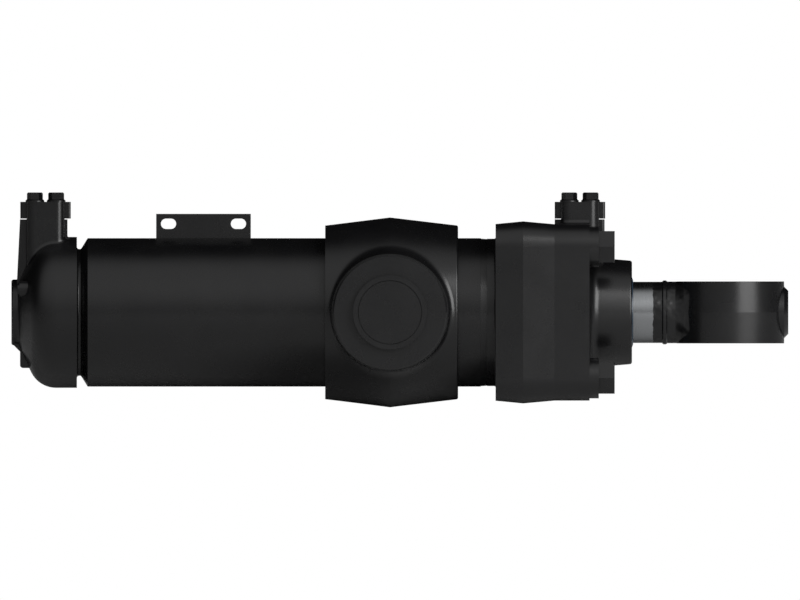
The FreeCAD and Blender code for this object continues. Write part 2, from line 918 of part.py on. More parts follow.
# Head flange: a square forging, thickest at its parting line, on a short round neck
def make_head_flange():
    body = new_body("head_flange")
    sections = (
        (size.flange_back_at, head_half + size.flange_back_stand),
        (size.flange_crest_at, head_half + size.flange_crest_stand),
        (flange_face, head_half),
    )
    squares = []
    for station, half in sections:
        sketch = sketch_on(body, "YZ_Plane", station)
        squares.append(rounded_rectangle(sketch, -half, half, -half, half, half - bolt_half))
    loft = body.newObject("PartDesign::AdditiveLoft", "head_flange_loft")
    loft.Profile = squares[0]
    loft.Sections = squares[1:]
    loft.Ruled = True
    neck = outline(
        sketch_on(body, "XZ_Plane"),
        [
            (barrel_end, zero),
            (barrel_end, bore_r + size.head_weld_root),
            (barrel_end + size.head_weld_half_width, neck_r),
            (size.flange_crest_at, neck_r),
            (size.flange_crest_at, zero),
        ],
    )
    spun(body, neck)
    corner = Vector(size.flange_back_at.value, 0, neck_r.value)
    soften(body, "Fillet", [corner], size.flange_neck_radius)
    bore = circle(sketch_on(body, "YZ_Plane", barrel_end), zero, zero, bore_r)
    pocket(body, bore, flange_face - barrel_end, backwards=True)
    threads = sketch_on(body, "YZ_Plane", flange_face)
    for across in (-bolt_half, bolt_half):
        for up in (-bolt_half, bolt_half):
            circle(threads, across, up, size.gland_thread_dia / 2 + size.thread_clearance)
    pocket(body, threads, size.gland_thread_engaged + size.gland_thread_spare)
    return body


# Gland: square head block with four bolt bosses, port tower, round nose and a spigot inside the flange
def make_gland():
    body = new_body("gland")
    half = head_half
    bolt = bolt_half
    block_end = flange_face + size.gland_block_length
    boss_end = block_end + size.gland_boss_height
    square = rounded_rectangle(sketch_on(body, "YZ_Plane", flange_face), -half, half, -half, half, half - bolt)
    pad(body, square, size.gland_block_length)
    middle = size.head_port_at
    top = pad_height
    drop = top - size.head_tower_root
    pad(body, lobes(sketch_on(body, "XY_Plane", top), middle), drop, backwards=True)
    soften(body, "Fillet", [Vector((middle - lobe_across).value, 0, half.value)], size.port_foot_radius)
    boss_r = size.gland_boss_dia / 2
    boss_corner = boss_r - size.gland_boss_flat
    bosses = sketch_on(body, "YZ_Plane", flange_face)
    for left, right in ((-half, -bolt + boss_r), (bolt - boss_r, half)):
        for up in (-bolt, bolt):
            rounded_rectangle(bosses, left, right, up - boss_r, up + boss_r, boss_corner)
    pad(body, bosses, size.gland_block_length + size.gland_boss_height)
    wings = rounded_rectangle(
        sketch_on(body, "XY_Plane", top),
        middle - wing_across,
        middle + size.head_wing_front,
        -wing_along,
        wing_along,
        size.port_wing_corner,
    )
    pad(body, wings, drop, backwards=True)
    base_r = size.nose_base_dia / 2
    base_curve = size.nose_base_radius
    end_r = size.nose_end_dia / 2
    edge = size.nose_edge_radius
    spigot_r = bore_r - size.spigot_clearance
    nose = outline(
        sketch_on(body, "XZ_Plane"),
        [
            (gland_start, zero),
            (gland_start, spigot_r - edge),
            (gland_start + edge, spigot_r),
            (flange_face, spigot_r),
            (flange_face, base_r + base_curve),
            (block_end, base_r + base_curve, base_curve, -1),
            (block_end + base_curve, base_r),
            (nose_face - edge, end_r, edge, 1),
            (nose_face, end_r - edge),
            (nose_face, zero),
        ],
    )
    spun(body, nose)
    spun(body, gland_bore(body), cut=True)
    ring_seat = rectangle(
        sketch_on(body, "XZ_Plane"),
        gland_start + size.gland_groove_at,
        gland_start + size.gland_groove_at + size.gland_ring_section + size.backup_width + size.ring_play * 3,
        bore_r - size.gland_ring_section - size.ring_play * 2,
        bore_r,
    )
    spun(body, ring_seat, cut=True)
    oilway = circle(
        sketch_on(body, "YZ_Plane", gland_start), zero, gallery_r - size.oilway_inset, size.oilway_dia / 2
    )
    way = pocket(body, oilway, size.gallery_start + size.oilway_overrun, backwards=True)
    ways = body.newObject("PartDesign::PolarPattern", "gland_oilways")
    ways.Originals = [way]
    ways.Axis = (oilway, ["N_Axis"])
    ways.Angle = 360.0
    ways.setExpression("Occurrences", size.oilway_count.text)
    body.Tip = ways
    holes = sketch_on(body, "YZ_Plane", flange_face)
    for across in (-bolt, bolt):
        for up in (-bolt, bolt):
            circle(holes, across, up, size.gland_thread_dia / 2 + size.bolt_hole_clearance)
    pocket(body, holes, boss_end - flange_face, backwards=True)
    passage = circle(sketch_on(body, "XY_Plane", top), middle, zero, size.port_bore_dia / 2)
    pocket(body, passage, top - gallery_r + size.port_bore_dia / 2)
    port_threads(body, middle, top)
    return body


# The gland's inside: guide grooves, oil gallery, seal grooves and the lands between them
def gland_bore(body):
    land_r = rod_r + size.land_clearance
    guide_r = rod_r + size.rod_bush_clearance + size.guide_thickness
    grooves = (
        (gland_start + size.guide_inner_at, size.guide_width + size.ring_play * 2, guide_r),
        (gland_start + size.gallery_start, size.gallery_end - size.gallery_start, gallery_r),
        (gland_start + size.guide_outer_at, size.guide_width + size.ring_play * 2, guide_r),
        (gland_start + size.buffer_at, size.buffer_width + size.ring_play * 2, rod_r + size.buffer_depth),
        (gland_start + size.rod_seal_at, size.rod_seal_width + size.ring_play * 2, rod_r + size.rod_seal_depth),
    )
    corners = [(gland_start, zero), (gland_start, land_r)]
    for start, width, radius in grooves:
        corners += [(start, land_r), (start, radius), (start + width, radius), (start + width, land_r)]
    wiper_start = nose_face - size.wiper_width
    corners += [
        (wiper_start, land_r),
        (wiper_start, rod_r + size.wiper_depth),
        (nose_face, rod_r + size.wiper_depth),
        (nose_face, zero),
    ]
    corners.reverse()
    return outline(sketch_on(body, "XZ_Plane"), corners)


# Four hex bolts that hold the gland, each with a corner towards the viewer
def make_gland_bolts():
    body = new_body("gland_bolts")
    shank_r = size.gland_thread_dia / 2
    corner_r = size.gland_head_flats / math.sqrt(3.0)
    flat_r = size.gland_head_flats / 2
    seat = flange_face + size.gland_block_length + size.gland_boss_height
    top = seat + size.gland_head_height
    chamfer = (corner_r - flat_r) / 2
    shape = outline(
        sketch_on(body, "XZ_Plane"),
        [
            (flange_face - size.gland_thread_engaged, zero),
            (top, zero),
            (top, flat_r),
            (top - chamfer, corner_r),
            (seat, corner_r),
            (seat, shank_r),
            (flange_face - size.gland_thread_engaged, shank_r),
        ],
    )
    spun(body, shape)
    flats = sketch_on(body, "YZ_Plane", seat)
    hexagon(flats, zero, zero, size.gland_head_flats)
    circle(flats, zero, zero, corner_r + size.hex_cut_margin)
    pocket(body, flats, size.gland_head_height, backwards=True)
    pitch = bolt_half * 2
    repeat(body, [("YZ_Plane", "H_Axis", pitch), ("YZ_Plane", "V_Axis", pitch)])
    return place(body, zero, -bolt_half, -bolt_half)


# Rings and seals that the gland carries
def make_gland_rings():
    play = size.ring_play
    groove = gland_start + size.gland_groove_at
    section = size.gland_ring_section
    round_ring(
        "gland_o_ring",
        groove + play + section / 2,
        bore_r * 2 - section - play,
        section,
    )
    ring(
        "gland_backup_ring",
        groove + section + play * 2,
        size.backup_width,
        bore_r - section - play,
        bore_r - size.spigot_clearance,
    )
    inner = rod_r + size.rod_bush_clearance
    outer = inner + size.guide_thickness
    ring("rod_guide_inner", gland_start + size.guide_inner_at + play, size.guide_width, inner, outer)
    ring("rod_guide_outer", gland_start + size.guide_outer_at + play, size.guide_width, inner, outer)
    lip_r = rod_r + size.seal_clearance
    lip_seal("buffer_seal", gland_start + size.buffer_at + play, size.buffer_width, lip_r, size.buffer_depth)
    lip_seal("rod_seal", gland_start + size.rod_seal_at + play, size.rod_seal_width, lip_r, size.rod_seal_depth)
    start = nose_face - size.wiper_width
    reach = rod_r + size.wiper_depth
    turned(
        "rod_wiper",
        [
            (start, rod_r + size.land_clearance * 2),
            (nose_face, rod_r + size.land_clearance * 2),
            (nose_face + size.wiper_lip, lip_r),
            (nose_face + size.wiper_lip, lip_r + size.wiper_lip),
            (nose_face, reach),
            (start, reach),
        ],
    )


# A U shaped lip seal: its open side faces the oil
def lip_seal(label, start, width, inner, depth):
    outer = rod_r + depth
    middle = (inner + outer) / 2
    lip = (outer - inner) / size.seal_lips_per_depth
    turned(
        label,
        [
            (start, inner),
            (start + width, inner + lip),
            (start + width, outer),
            (start, outer),
            (start, middle + lip),
            (start + width / size.seal_notches_per_width, middle),
            (start, middle - lip),
        ],
    )


# Piston with its shoulder for the rod and its ring grooves
def make_piston():
    piston_r = bore_r - size.land_clearance
    wear_width = size.wear_ring_width + size.ring_play * 2
    wear_r = bore_r - size.guide_clearance - size.wear_ring_thickness - size.guide_clearance
    seal_width = size.piston_seal_width + size.ring_play * 2
    seal_start = piston_back + (size.piston_length - seal_width) / 2
    edge = size.piston_edge
    grooves = (
        (piston_back + size.wear_ring_inset, wear_width, wear_r),
        (seal_start, seal_width, bore_r - size.piston_groove_depth),
        (piston_front - size.wear_ring_inset - wear_width, wear_width, wear_r),
    )
    corners = [(piston_back, piston_r - edge), (piston_back + edge, piston_r)]
    for start, width, radius in grooves:
        corners += [(start, piston_r), (start, radius), (start + width, radius), (start + width, piston_r)]
    corners += [
        (piston_front - edge, piston_r),
        (piston_front, piston_r - edge),
        (piston_front, rod_r),
        (piston_front - size.piston_shoulder, rod_r),
        (piston_front - size.piston_shoulder, size.pilot_dia / 2),
        (piston_back, size.pilot_dia / 2),
    ]
    corners.reverse()
    return turned("piston", corners)


def make_piston_rings():
    play = size.ring_play
    outer = bore_r - size.guide_clearance
    inner = outer - size.wear_ring_thickness
    inset = size.wear_ring_inset + play
    width = size.wear_ring_width
    ring("piston_wear_ring_rear", piston_back + inset, width, inner, outer)
    ring("piston_wear_ring_front", piston_front - inset - width, width, inner, outer)
    seal_width = size.piston_seal_width
    seal_start = piston_back + (size.piston_length - seal_width) / 2
    seal_outer = bore_r - size.seal_clearance
    seal_inner = seal_outer - size.piston_seal_thickness
    ring("piston_seal", seal_start, seal_width, seal_inner, seal_outer)
    groove_r = bore_r - size.piston_groove_depth
    ring("piston_energiser", seal_start, seal_width, groove_r + size.seal_clearance, seal_inner)


# Rod: chromed bar, with a pilot for the piston and a threaded stub for its nut
def make_rod():
    pilot_r = size.pilot_dia / 2
    stub_r = size.stub_thread_dia / 2
    stub_end = piston_back - size.nut_height - size.stub_overrun
    chamfer = size.stub_chamfer
    shoulder = piston_front - size.piston_shoulder
    groove = shoulder - size.pilot_seal_at
    half = size.pilot_seal_section / 2 + size.ring_play
    depth = size.pilot_seal_section + size.ring_play
    return turned(
        "rod",
        [
            (stub_end, zero),
            (eye_weld, zero),
            (eye_weld, rod_r),
            (shoulder, rod_r),
            (shoulder, pilot_r),
            (groove + half, pilot_r),
            (groove + half, pilot_r - depth),
            (groove - half, pilot_r - depth),
            (groove - half, pilot_r),
            (piston_back, pilot_r),
            (piston_back, stub_r),
            (stub_end + chamfer, stub_r),
            (stub_end, stub_r - chamfer),
        ],
    )


def make_piston_fastening():
    section = size.pilot_seal_section
    round_ring(
        "piston_o_ring",
        piston_front - size.piston_shoulder - size.pilot_seal_at,
        size.pilot_dia - section - size.ring_play,
        section,
    )
    nut = new_body("piston_nut")
    flat_r = size.nut_flats / 2
    stub_r = size.stub_thread_dia / 2
    start = piston_back - size.nut_height
    chamfer = (nut_corner_r - flat_r) / 2
    shape = outline(
        sketch_on(nut, "XZ_Plane"),
        [
            (start, stub_r),
            (piston_back, stub_r),
            (piston_back, nut_corner_r),
            (start + chamfer, nut_corner_r),
            (start, flat_r),
        ],
    )
    spun(nut, shape)
    flats = sketch_on(nut, "YZ_Plane", start)
    hexagon(flats, zero, zero, size.nut_flats)
    circle(flats, zero, zero, nut_corner_r + size.hex_cut_margin)
    pocket(nut, flats, size.nut_height, backwards=True)
    screw_at = piston_back - size.nut_height / 2
    screw_r = size.set_screw_dia / 2
    hole = circle(sketch_on(nut, "XY_Plane"), screw_at, zero, screw_r + size.thread_clearance)
    pocket(nut, hole, flat_r + screw_r, backwards=True)
    screw = doc.addObject("Part::Cylinder", "nut_set_screw")
    screw.Label = "nut_set_screw"
    screw.setExpression("Radius", screw_r.text)
    screw.setExpression("Height", size.set_screw_length.text)
    place(screw, screw_at, up=stub_r)


# Rod eye, drawn about the centre of its bearing: forged ring, neck, shank and grease pad
def make_rod_eye():
    body = new_body("rod_eye")
    half = size.eye_thickness / 2
    ring_r = size.eye_ring_dia / 2
    shank_r = size.shank_dia / 2
    disc = outline(
        sketch_on(body, "XZ_Plane"),
        [
            (zero, -half),
            (ring_r - size.eye_draft, -half),
            (ring_r, zero),
            (ring_r - size.eye_draft, half),
            (zero, half),
        ],
    )
    spun(body, disc, "V_Axis")
    shank = rectangle(sketch_on(body, "XZ_Plane"), -size.shank_length, -size.neck_start, zero, shank_r)
    spun(body, shank)
    steps = [index / (NECK_SECTIONS - 1.0) for index in range(NECK_SECTIONS)]
    sections = []
    for step in steps:
        along = -size.neck_start + (size.neck_start - size.neck_end) * step
        wide = shank_r + (size.neck_end_half - shank_r) * step**2
        high = shank_r + (half - size.ring_play - shank_r) * step
        radius = (shank_r - size.ring_play) * (as_size(1.0) - size.neck_corner_share * step)
        sketch = sketch_on(body, "YZ_Plane", along)
        sections.append(rounded_rectangle(sketch, -wide, wide, -high, high, radius))
    neck = body.newObject("PartDesign::AdditiveLoft", "rod_eye_neck")
    neck.Profile = sections[0]
    neck.Sections = sections[1:]
    pad_r = size.pad_dia / 2
    pad_reach = ring_r + size.pad_stand
    boss = outline(
        sketch_on(body, "XZ_Plane"),
        [
            (zero, zero),
            (pad_reach, zero),
            (pad_reach, pad_r - size.pad_bevel),
            (pad_reach - size.pad_bevel, pad_r),
            (zero, pad_r),
        ],
    )
    spun(body, boss)
    race_r = size.race_dia / 2
    mouth = size.eye_mouth_chamfer
    clip_low = size.race_width / 2
    clip_high = clip_low + size.circlip_width + size.ring_play
    groove_r = race_r + size.circlip_groove
    bore = [(zero, -half), (race_r + mouth, -half), (race_r, -half + mouth)]
    for low, high in ((-clip_high, -clip_low), (clip_low, clip_high)):
        bore += [(race_r, low), (groove_r, low), (groove_r, high), (race_r, high)]
    bore += [(race_r, half - mouth), (race_r + mouth, half), (zero, half)]
    spun(body, outline(sketch_on(body, "XZ_Plane"), bore), "V_Axis", cut=True)
    duct = sketch_on(body, "YZ_Plane")
    circle(duct, zero, zero, size.grease_hole_dia / 2)
    pocket(body, duct, pad_reach, backwards=True)
    seat = sketch_on(body, "YZ_Plane", pad_reach)
    circle(seat, zero, zero, size.grease_plug_dia / 2 + size.thread_clearance)
    pocket(body, seat, size.grease_plug_sink + size.grease_plug_length)
    return place(body, eye_middle)


def make_eye_pieces():
    flash_out = rod_r + size.flash_height
    shank_r = size.shank_dia / 2
    half = size.flash_half_width
    turned(
        "eye_weld_flash",
        [
            (eye_weld - half, rod_r),
            (eye_weld, rod_r),
            (eye_weld, shank_r),
            (eye_weld + half, shank_r),
            (eye_weld + half / 2, flash_out),
            (eye_weld - half / 2, flash_out),
        ],
    )
    race_half = size.race_width / 2
    race_r = size.race_dia / 2
    shell_r = size.ball_dia / 2 + size.ball_clearance
    lip = root(shell_r * shell_r - race_half * race_half)
    race = new_body("bearing_outer_race")
    section = outline(
        sketch_on(race, "XZ_Plane"),
        [(lip, -race_half, shell_r, -1), (lip, race_half), (race_r, race_half), (race_r, -race_half)],
    )
    spun(race, section, "V_Axis")
    place(race, eye_middle)
    ball = new_body("bearing_inner_ring")
    ball_r = size.ball_dia / 2
    ball_half = size.ball_width / 2
    shoulder = root(ball_r * ball_r - ball_half * ball_half)
    bore = size.pin_bore_dia / 2
    section = outline(
        sketch_on(ball, "XZ_Plane"),
        [(bore, -ball_half), (shoulder, -ball_half, ball_r, -1), (shoulder, ball_half), (bore, ball_half)],
    )
    spun(ball, section, "V_Axis")
    place(ball, eye_middle)
    clip_start = size.race_width / 2 + size.ring_play / 2
    clip_out = race_r + size.circlip_groove - size.ring_play
    for name, side in (("upper", 1), ("lower", -1)):
        clip = new_body(f"circlip_{name}")
        low = clip_start if side == 1 else -clip_start - size.circlip_width
        flat = sketch_on(clip, "XY_Plane", low)
        circle(flat, zero, zero, clip_out)
        circle(flat, zero, zero, size.circlip_inner_dia / 2)
        pad(clip, flat, size.circlip_width)
        gap = rectangle(
            sketch_on(clip, "XY_Plane", low),
            -size.race_dia,
            zero,
            -size.circlip_eye_gap / 2,
            size.circlip_eye_gap / 2,
        )
        pocket(clip, gap, size.circlip_width, backwards=True)
        place(clip, eye_middle)
        seal = new_body(f"dust_seal_{name}")
        inner = size.dust_seal_inner_dia / 2
        low = size.dust_seal_at * side
        high = (size.dust_seal_at + size.dust_seal_width) * side
        shape = outline(
            sketch_on(seal, "XZ_Plane"),
            [
                (race_r, low),
                (race_r, high),
                (inner, high),
                (inner + size.dust_seal_slant, low),
            ],
        )
        spun(seal, shape, "V_Axis")
        place(seal, eye_middle)
    plug = new_body("eye_grease_plug")
    pad_reach = size.eye_ring_dia / 2 + size.pad_stand
    shape = rectangle(
        sketch_on(plug, "XZ_Plane"),
        pad_reach - size.grease_plug_sink - size.grease_plug_length,
        pad_reach - size.grease_plug_sink,
        zero,
        size.grease_plug_dia / 2,
    )
    spun(plug, shape)
    place(plug, eye_middle)


make_barrel()
make_cap_weld()
make_head_weld()
make_cap_end()
make_bleed_plug()
make_trunnion_band()
make_trunnion_plug("trunnion_plug_near", -1)
make_trunnion_plug("trunnion_plug_far", 1)
make_hose_bracket()
make_head_flange()
make_gland()
make_gland_bolts()
make_gland_rings()
for end, station in (("cap", cap_face - size.cap_port_offset), ("head", size.head_port_at)):
    make_port_cover(f"{end}_port_cover", station)
    make_port_seal(f"{end}_port_o_ring", station)
    make_port_bolts(f"{end}_port_bolts", station)
make_piston()
make_piston_rings()
make_rod()
make_piston_fastening()
make_rod_eye()
make_eye_pieces()
doc.recompute()

# Every object has to be sound before any piece is written
pieces = [item for item in doc.Objects if item.TypeId in ("PartDesign::Body", "Part::Torus", "Part::Cylinder")]
faults = [item.Name for item in doc.Objects if "Invalid" in item.State or "Error" in item.State]
faults += [piece.Label for piece in pieces if piece.Shape.isNull() or not piece.Shape.isValid()]
if faults:
    raise SystemExit(f"These objects failed: {faults}")

os.makedirs("parts", exist_ok=True)
for piece in pieces:
    piece.Shape.exportStep(f"parts/{piece.Label}.step")
    solids = len(piece.Shape.Solids)
    print(f"{piece.Label}: {solids} solid(s), {piece.Shape.Volume / 1000:.1f} cm3")
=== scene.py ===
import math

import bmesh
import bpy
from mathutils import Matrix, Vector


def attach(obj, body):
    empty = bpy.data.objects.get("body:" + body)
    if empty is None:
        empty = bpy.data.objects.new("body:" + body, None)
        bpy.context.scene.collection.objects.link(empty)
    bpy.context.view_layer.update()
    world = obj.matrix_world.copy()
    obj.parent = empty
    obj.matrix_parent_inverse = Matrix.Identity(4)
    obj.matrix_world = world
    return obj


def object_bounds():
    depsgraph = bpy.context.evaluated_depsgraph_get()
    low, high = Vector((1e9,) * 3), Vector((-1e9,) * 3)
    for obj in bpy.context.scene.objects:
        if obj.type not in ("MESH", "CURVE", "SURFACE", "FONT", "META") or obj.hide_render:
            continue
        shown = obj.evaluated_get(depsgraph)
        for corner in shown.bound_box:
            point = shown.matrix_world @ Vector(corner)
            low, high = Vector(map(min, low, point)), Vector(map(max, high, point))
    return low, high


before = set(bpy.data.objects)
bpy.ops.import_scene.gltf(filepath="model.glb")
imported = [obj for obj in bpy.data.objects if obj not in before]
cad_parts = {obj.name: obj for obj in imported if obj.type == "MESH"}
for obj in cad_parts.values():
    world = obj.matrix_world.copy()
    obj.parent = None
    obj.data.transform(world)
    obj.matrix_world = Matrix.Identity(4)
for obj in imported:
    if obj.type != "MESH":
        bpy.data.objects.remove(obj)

# %% [markdown]
# A black hydraulic cylinder, seen from the side
#
# The steel itself, with its true shapes and sizes, is already loaded as a fixed frame.
# What is left for Blender is how it looks: the black enamel on cast, forged and drawn
# steel, the chromed rod, the bearing in the eye, the soft roots of the two big pins, and
# a quiet studio. The frame's own box is measured first, and the floor is laid just under
# its lowest edge.

frame_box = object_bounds()
scene = bpy.context.scene
scene.view_settings.view_transform = "Standard"
print("frame from", tuple(frame_box[0]), "to", tuple(frame_box[1]))

# %% [markdown]
# The camera
#
# The picture is a square side view with no perspective: both ends of the barrel and
# both faces of the head show edge on. A perspective camera would need to stand very far
# away for that, so an orthographic one is simpler. Its scale is the width of the
# picture, 800 pixels, times the real size of one pixel.

# %% Camera
MM = 0.001
PIXEL = 1.307 * MM
PICTURE_WIDTH = 800
VIEW_CENTRE = (13.1 * MM, 16.2 * MM)
CAMERA_DISTANCE = 3.0

camera_data = bpy.data.cameras.new("side_camera")
camera_data.type = "ORTHO"
camera_data.ortho_scale = PICTURE_WIDTH * PIXEL
camera = bpy.data.objects.new("side_camera", camera_data)
camera.location = (VIEW_CENTRE[0], -CAMERA_DISTANCE, VIEW_CENTRE[1])
camera.rotation_euler = (math.radians(90), 0, 0)
scene.collection.objects.link(camera)
scene.camera = camera
print("picture is", round(camera_data.ortho_scale, 4), "m wide")

# %% [markdown]
# Colours and nodes
#
# Colours are written as the hex values that a picture shows, and turned to the linear
# values that Blender wants by one function. A second one adds a node to a material with
# its links, its inputs and its settings, which keeps every finish below short enough to
# read.


# %% Two helpers
def linear(hex_value):
    channels = [int(hex_value[start:start + 2], 16) / 255 for start in (1, 3, 5)]
    curve = [c / 12.92 if c <= 0.04045 else ((c + 0.055) / 1.055) ** 2.4 for c in channels]
    return (*curve, 1.0)


def add(tree, kind, links=None, inputs=None, **settings):
    node = tree.nodes.new(kind)
    for name, value in settings.items():
        setattr(node, name, value)
    for socket, value in (inputs or {}).items():
        node.inputs[socket].default_value = value
    for socket, source in (links or {}).items():
        tree.links.new(source, node.inputs[socket])
    return node


print("black enamel in linear light:", [round(c, 4) for c in linear("#131314")[:3]])

# %% [markdown]
# The studio
#
# The picture's background is plain white, and yet the cylinder's top, underside and ends
# are nearly black. Glossy paint shows what stands around it, so the room has to be dark
# behind and grey where the camera stands. The world is painted that way by direction
# alone, so that steel reflects the same room that the camera sees. Here the grey fades
# out a little behind the cylinder, along Y, which points away from the camera.

# %% Room around the cylinder
ROOM_FRONT = 0.15
ROOM_BACK = 0.004
FADE_STARTS = -0.35
FADE_ENDS = 0.2

world = bpy.data.worlds.new("studio")
world.use_nodes = True
scene.world = world
tree = world.node_tree
tree.nodes.clear()
way = add(tree, "ShaderNodeTexCoord")
axes = add(tree, "ShaderNodeSeparateXYZ", {"Vector": way.outputs["Generated"]})
front = add(tree, "ShaderNodeMapRange", {"Value": axes.outputs["Y"]},
            {"From Min": FADE_STARTS, "From Max": FADE_ENDS, "To Min": ROOM_FRONT, "To Max": ROOM_BACK},
            interpolation_type="SMOOTHSTEP")
print("front of the room is", ROOM_FRONT, "and the rest is", ROOM_BACK)

# %% [markdown]
# A long soft glow above the camera
#
# The upper band along the barrel is the reflection of a long lit ceiling panel. It is
# wide and has no edge, so it is painted into the room as a patch around one direction.
# The direction's X is shortened first, which makes the patch longer along the barrel.

# %% Glow above the camera
GLOW_RISE = math.radians(49)
GLOW_HALF = math.radians(57)
GLOW_LEVEL = 0.46
GLOW_X = 0.45

flat = add(tree, "ShaderNodeVectorMath", {0: way.outputs["Generated"]}, {1: (GLOW_X, 1, 1)},
           operation="MULTIPLY")
unit = add(tree, "ShaderNodeVectorMath", {0: flat.outputs[0]}, operation="NORMALIZE")
near = add(tree, "ShaderNodeVectorMath", {0: unit.outputs[0]},
           {1: (0.0, -math.cos(GLOW_RISE), math.sin(GLOW_RISE))}, operation="DOT_PRODUCT")
glow = add(tree, "ShaderNodeMapRange", {"Value": near.outputs["Value"]},
           {"From Min": math.cos(GLOW_HALF), "From Max": 1.0, "To Min": 0.0, "To Max": GLOW_LEVEL},
           interpolation_type="SMOOTHSTEP")
lit = add(tree, "ShaderNodeMath", {0: front.outputs[0], 1: glow.outputs[0]}, operation="ADD")
print("glow is", round(math.degrees(GLOW_RISE)), "degrees up and", round(math.degrees(GLOW_HALF)), "wide")

# %% [markdown]
# The white horizon
#
# A level camera sees the room only at the height of the horizon. A thin white band all
# round is therefore the whole background of the picture. It is so thin that the steel
# hardly shows it, and nothing has to tell the camera's rays from the others.

# %% Horizon
HORIZON_HALF = 0.006
HORIZON_CORE = 0.0036

height = add(tree, "ShaderNodeMath", {0: axes.outputs["Z"]}, operation="ABSOLUTE")
horizon = add(tree, "ShaderNodeMapRange", {"Value": height.outputs[0]},
              {"From Min": HORIZON_CORE, "From Max": HORIZON_HALF, "To Min": 1.0, "To Max": 0.0})
room = add(tree, "ShaderNodeMix", {"Factor": horizon.outputs[0], "A": lit.outputs[0]}, {"B": 1.0},
           data_type="FLOAT")
shade = add(tree, "ShaderNodeBackground", {"Strength": room.outputs["Result"]}, {"Color": (1, 1, 1, 1)})
add(tree, "ShaderNodeOutputWorld", {"Surface": shade.outputs[0]})
print("room painted with", len(tree.nodes), "nodes")

# %% [markdown]
# The softbox
#
# One large softbox stands to the right of the camera, low and a little above it. Faces
# that look that way, such as the right side of the eye, the fillet of the nose and the
# root of the pin, carry the brightest lights in the picture. Two or three smaller lamps
# would each leave a light of their own on the round pieces, so there is only this one.

# %% Softbox
SOFTBOX_PLACE = Vector((1.86, -2.02, 1.2))
SOFTBOX_SIZE = (1.9, 2.4)
SOFTBOX_WATTS = 70

lamp_data = bpy.data.lights.new("tall_softbox", "AREA")
lamp_data.shape = "RECTANGLE"
lamp_data.size, lamp_data.size_y = SOFTBOX_SIZE
lamp_data.energy = SOFTBOX_WATTS
lamp = bpy.data.objects.new("tall_softbox", lamp_data)
lamp.location = SOFTBOX_PLACE
lamp.rotation_mode = "QUATERNION"
lamp.rotation_quaternion = (-SOFTBOX_PLACE).to_track_quat("-Z", "Y")
scene.collection.objects.link(lamp)
print("softbox is", round(SOFTBOX_PLACE.length, 2), "m away")

# %% [markdown]
# The floor
#
# The cylinder lies on a wide matt board, just under its lowest edge. The level camera
# sees it edge on, but the enamel mirrors it as the lower band along the barrel, and it
# takes the shadow in every other view. It is pale grey and has next to no shine.

# %% Floor
FLOOR_SIZE = 40.0
FLOOR_GAP = 0.5 * MM
FLOOR_ROUGHNESS = 0.9
FLOOR_SHINE = 0.1

floor_mesh = bpy.data.meshes.new("floor")
shape = bmesh.new()
bmesh.ops.create_grid(shape, x_segments=1, y_segments=1, size=FLOOR_SIZE / 2)
bmesh.ops.translate(shape, verts=shape.verts, vec=(0, 0, frame_box[0].z - FLOOR_GAP))
shape.to_mesh(floor_mesh)
shape.free()
floor = bpy.data.objects.new("floor", floor_mesh)
scene.collection.objects.link(floor)

# Matt painted board: no grain that could show in the steel
floor_finish = bpy.data.materials.new("pale_painted_board")
floor_finish.use_nodes = True
paint = floor_finish.node_tree.nodes["Principled BSDF"]
paint.inputs["Base Color"].default_value = linear("#dadada")
paint.inputs["Roughness"].default_value = FLOOR_ROUGHNESS
paint.inputs["Specular IOR Level"].default_value = FLOOR_SHINE
floor_mesh.materials.append(floor_finish)
print("floor at", round(frame_box[0].z - FLOOR_GAP, 4), "m")

# %% [markdown]
# Black enamel
#
# Nearly every outer piece has the same satin black enamel, sprayed over different skins.
# On the drawn barrel it shows only the orange peel of the spray. On the cast cap and
# gland the grain of the sand mould shows through it, and forgings have long shallow
# waves. One function makes all of them, from the size of the grain and its depth. Dust
# makes the black a little paler in patches, and the gloss drifts as slowly. A noise
# seldom leaves the middle of its range, so that part is stretched.

# %% Sizes of dust and haze
NOISE_RANGE = {"From Min": 0.3, "From Max": 0.7}
DUST_MM = 38
DUST_HEX = "#131314"
HAZE_MM = 55
HAZE_SPREAD = 0.03
ENAMEL_IOR = 1.52
print("dust patches are", DUST_MM, "mm and haze patches", HAZE_MM, "mm across")


# %% Enamel
def new_finish(name):
    material = bpy.data.materials.new(name)
    material.use_nodes = True
    tree = material.node_tree
    return material, tree, tree.nodes["Principled BSDF"]


def enamel(name, hex_value, grain_mm, depth_mm, gloss):
    material, tree, paint = new_finish(name)
    place = add(tree, "ShaderNodeTexCoord", name="place")
    dust = add(tree, "ShaderNodeTexNoise", {"Vector": place.outputs["Object"]},
               {"Scale": 1 / (DUST_MM * MM), "Detail": 3})
    tone = add(tree, "ShaderNodeMix", {"Factor": dust.outputs["Fac"]},
               {"A": linear(hex_value), "B": linear(DUST_HEX)}, data_type="RGBA")
    tree.links.new(tone.outputs["Result"], paint.inputs["Base Color"])
    patch = add(tree, "ShaderNodeTexNoise", {"Vector": place.outputs["Object"]},
                {"Scale": 1 / (HAZE_MM * MM), "Detail": 4})
    haze = add(tree, "ShaderNodeMapRange", {"Value": patch.outputs["Fac"]},
               {**NOISE_RANGE, "To Min": gloss - HAZE_SPREAD, "To Max": gloss + HAZE_SPREAD})
    tree.links.new(haze.outputs[0], paint.inputs["Roughness"])
    peel = add(tree, "ShaderNodeTexNoise", {"Vector": place.outputs["Object"]},
               {"Scale": 1 / (grain_mm * MM), "Detail": 2})
    relief = add(tree, "ShaderNodeBump", {"Height": peel.outputs["Fac"]},
                 {"Strength": 1.0, "Distance": depth_mm * MM}, name="relief")
    tree.links.new(relief.outputs["Normal"], paint.inputs["Normal"])
    paint.inputs["IOR"].default_value = ENAMEL_IOR
    return material


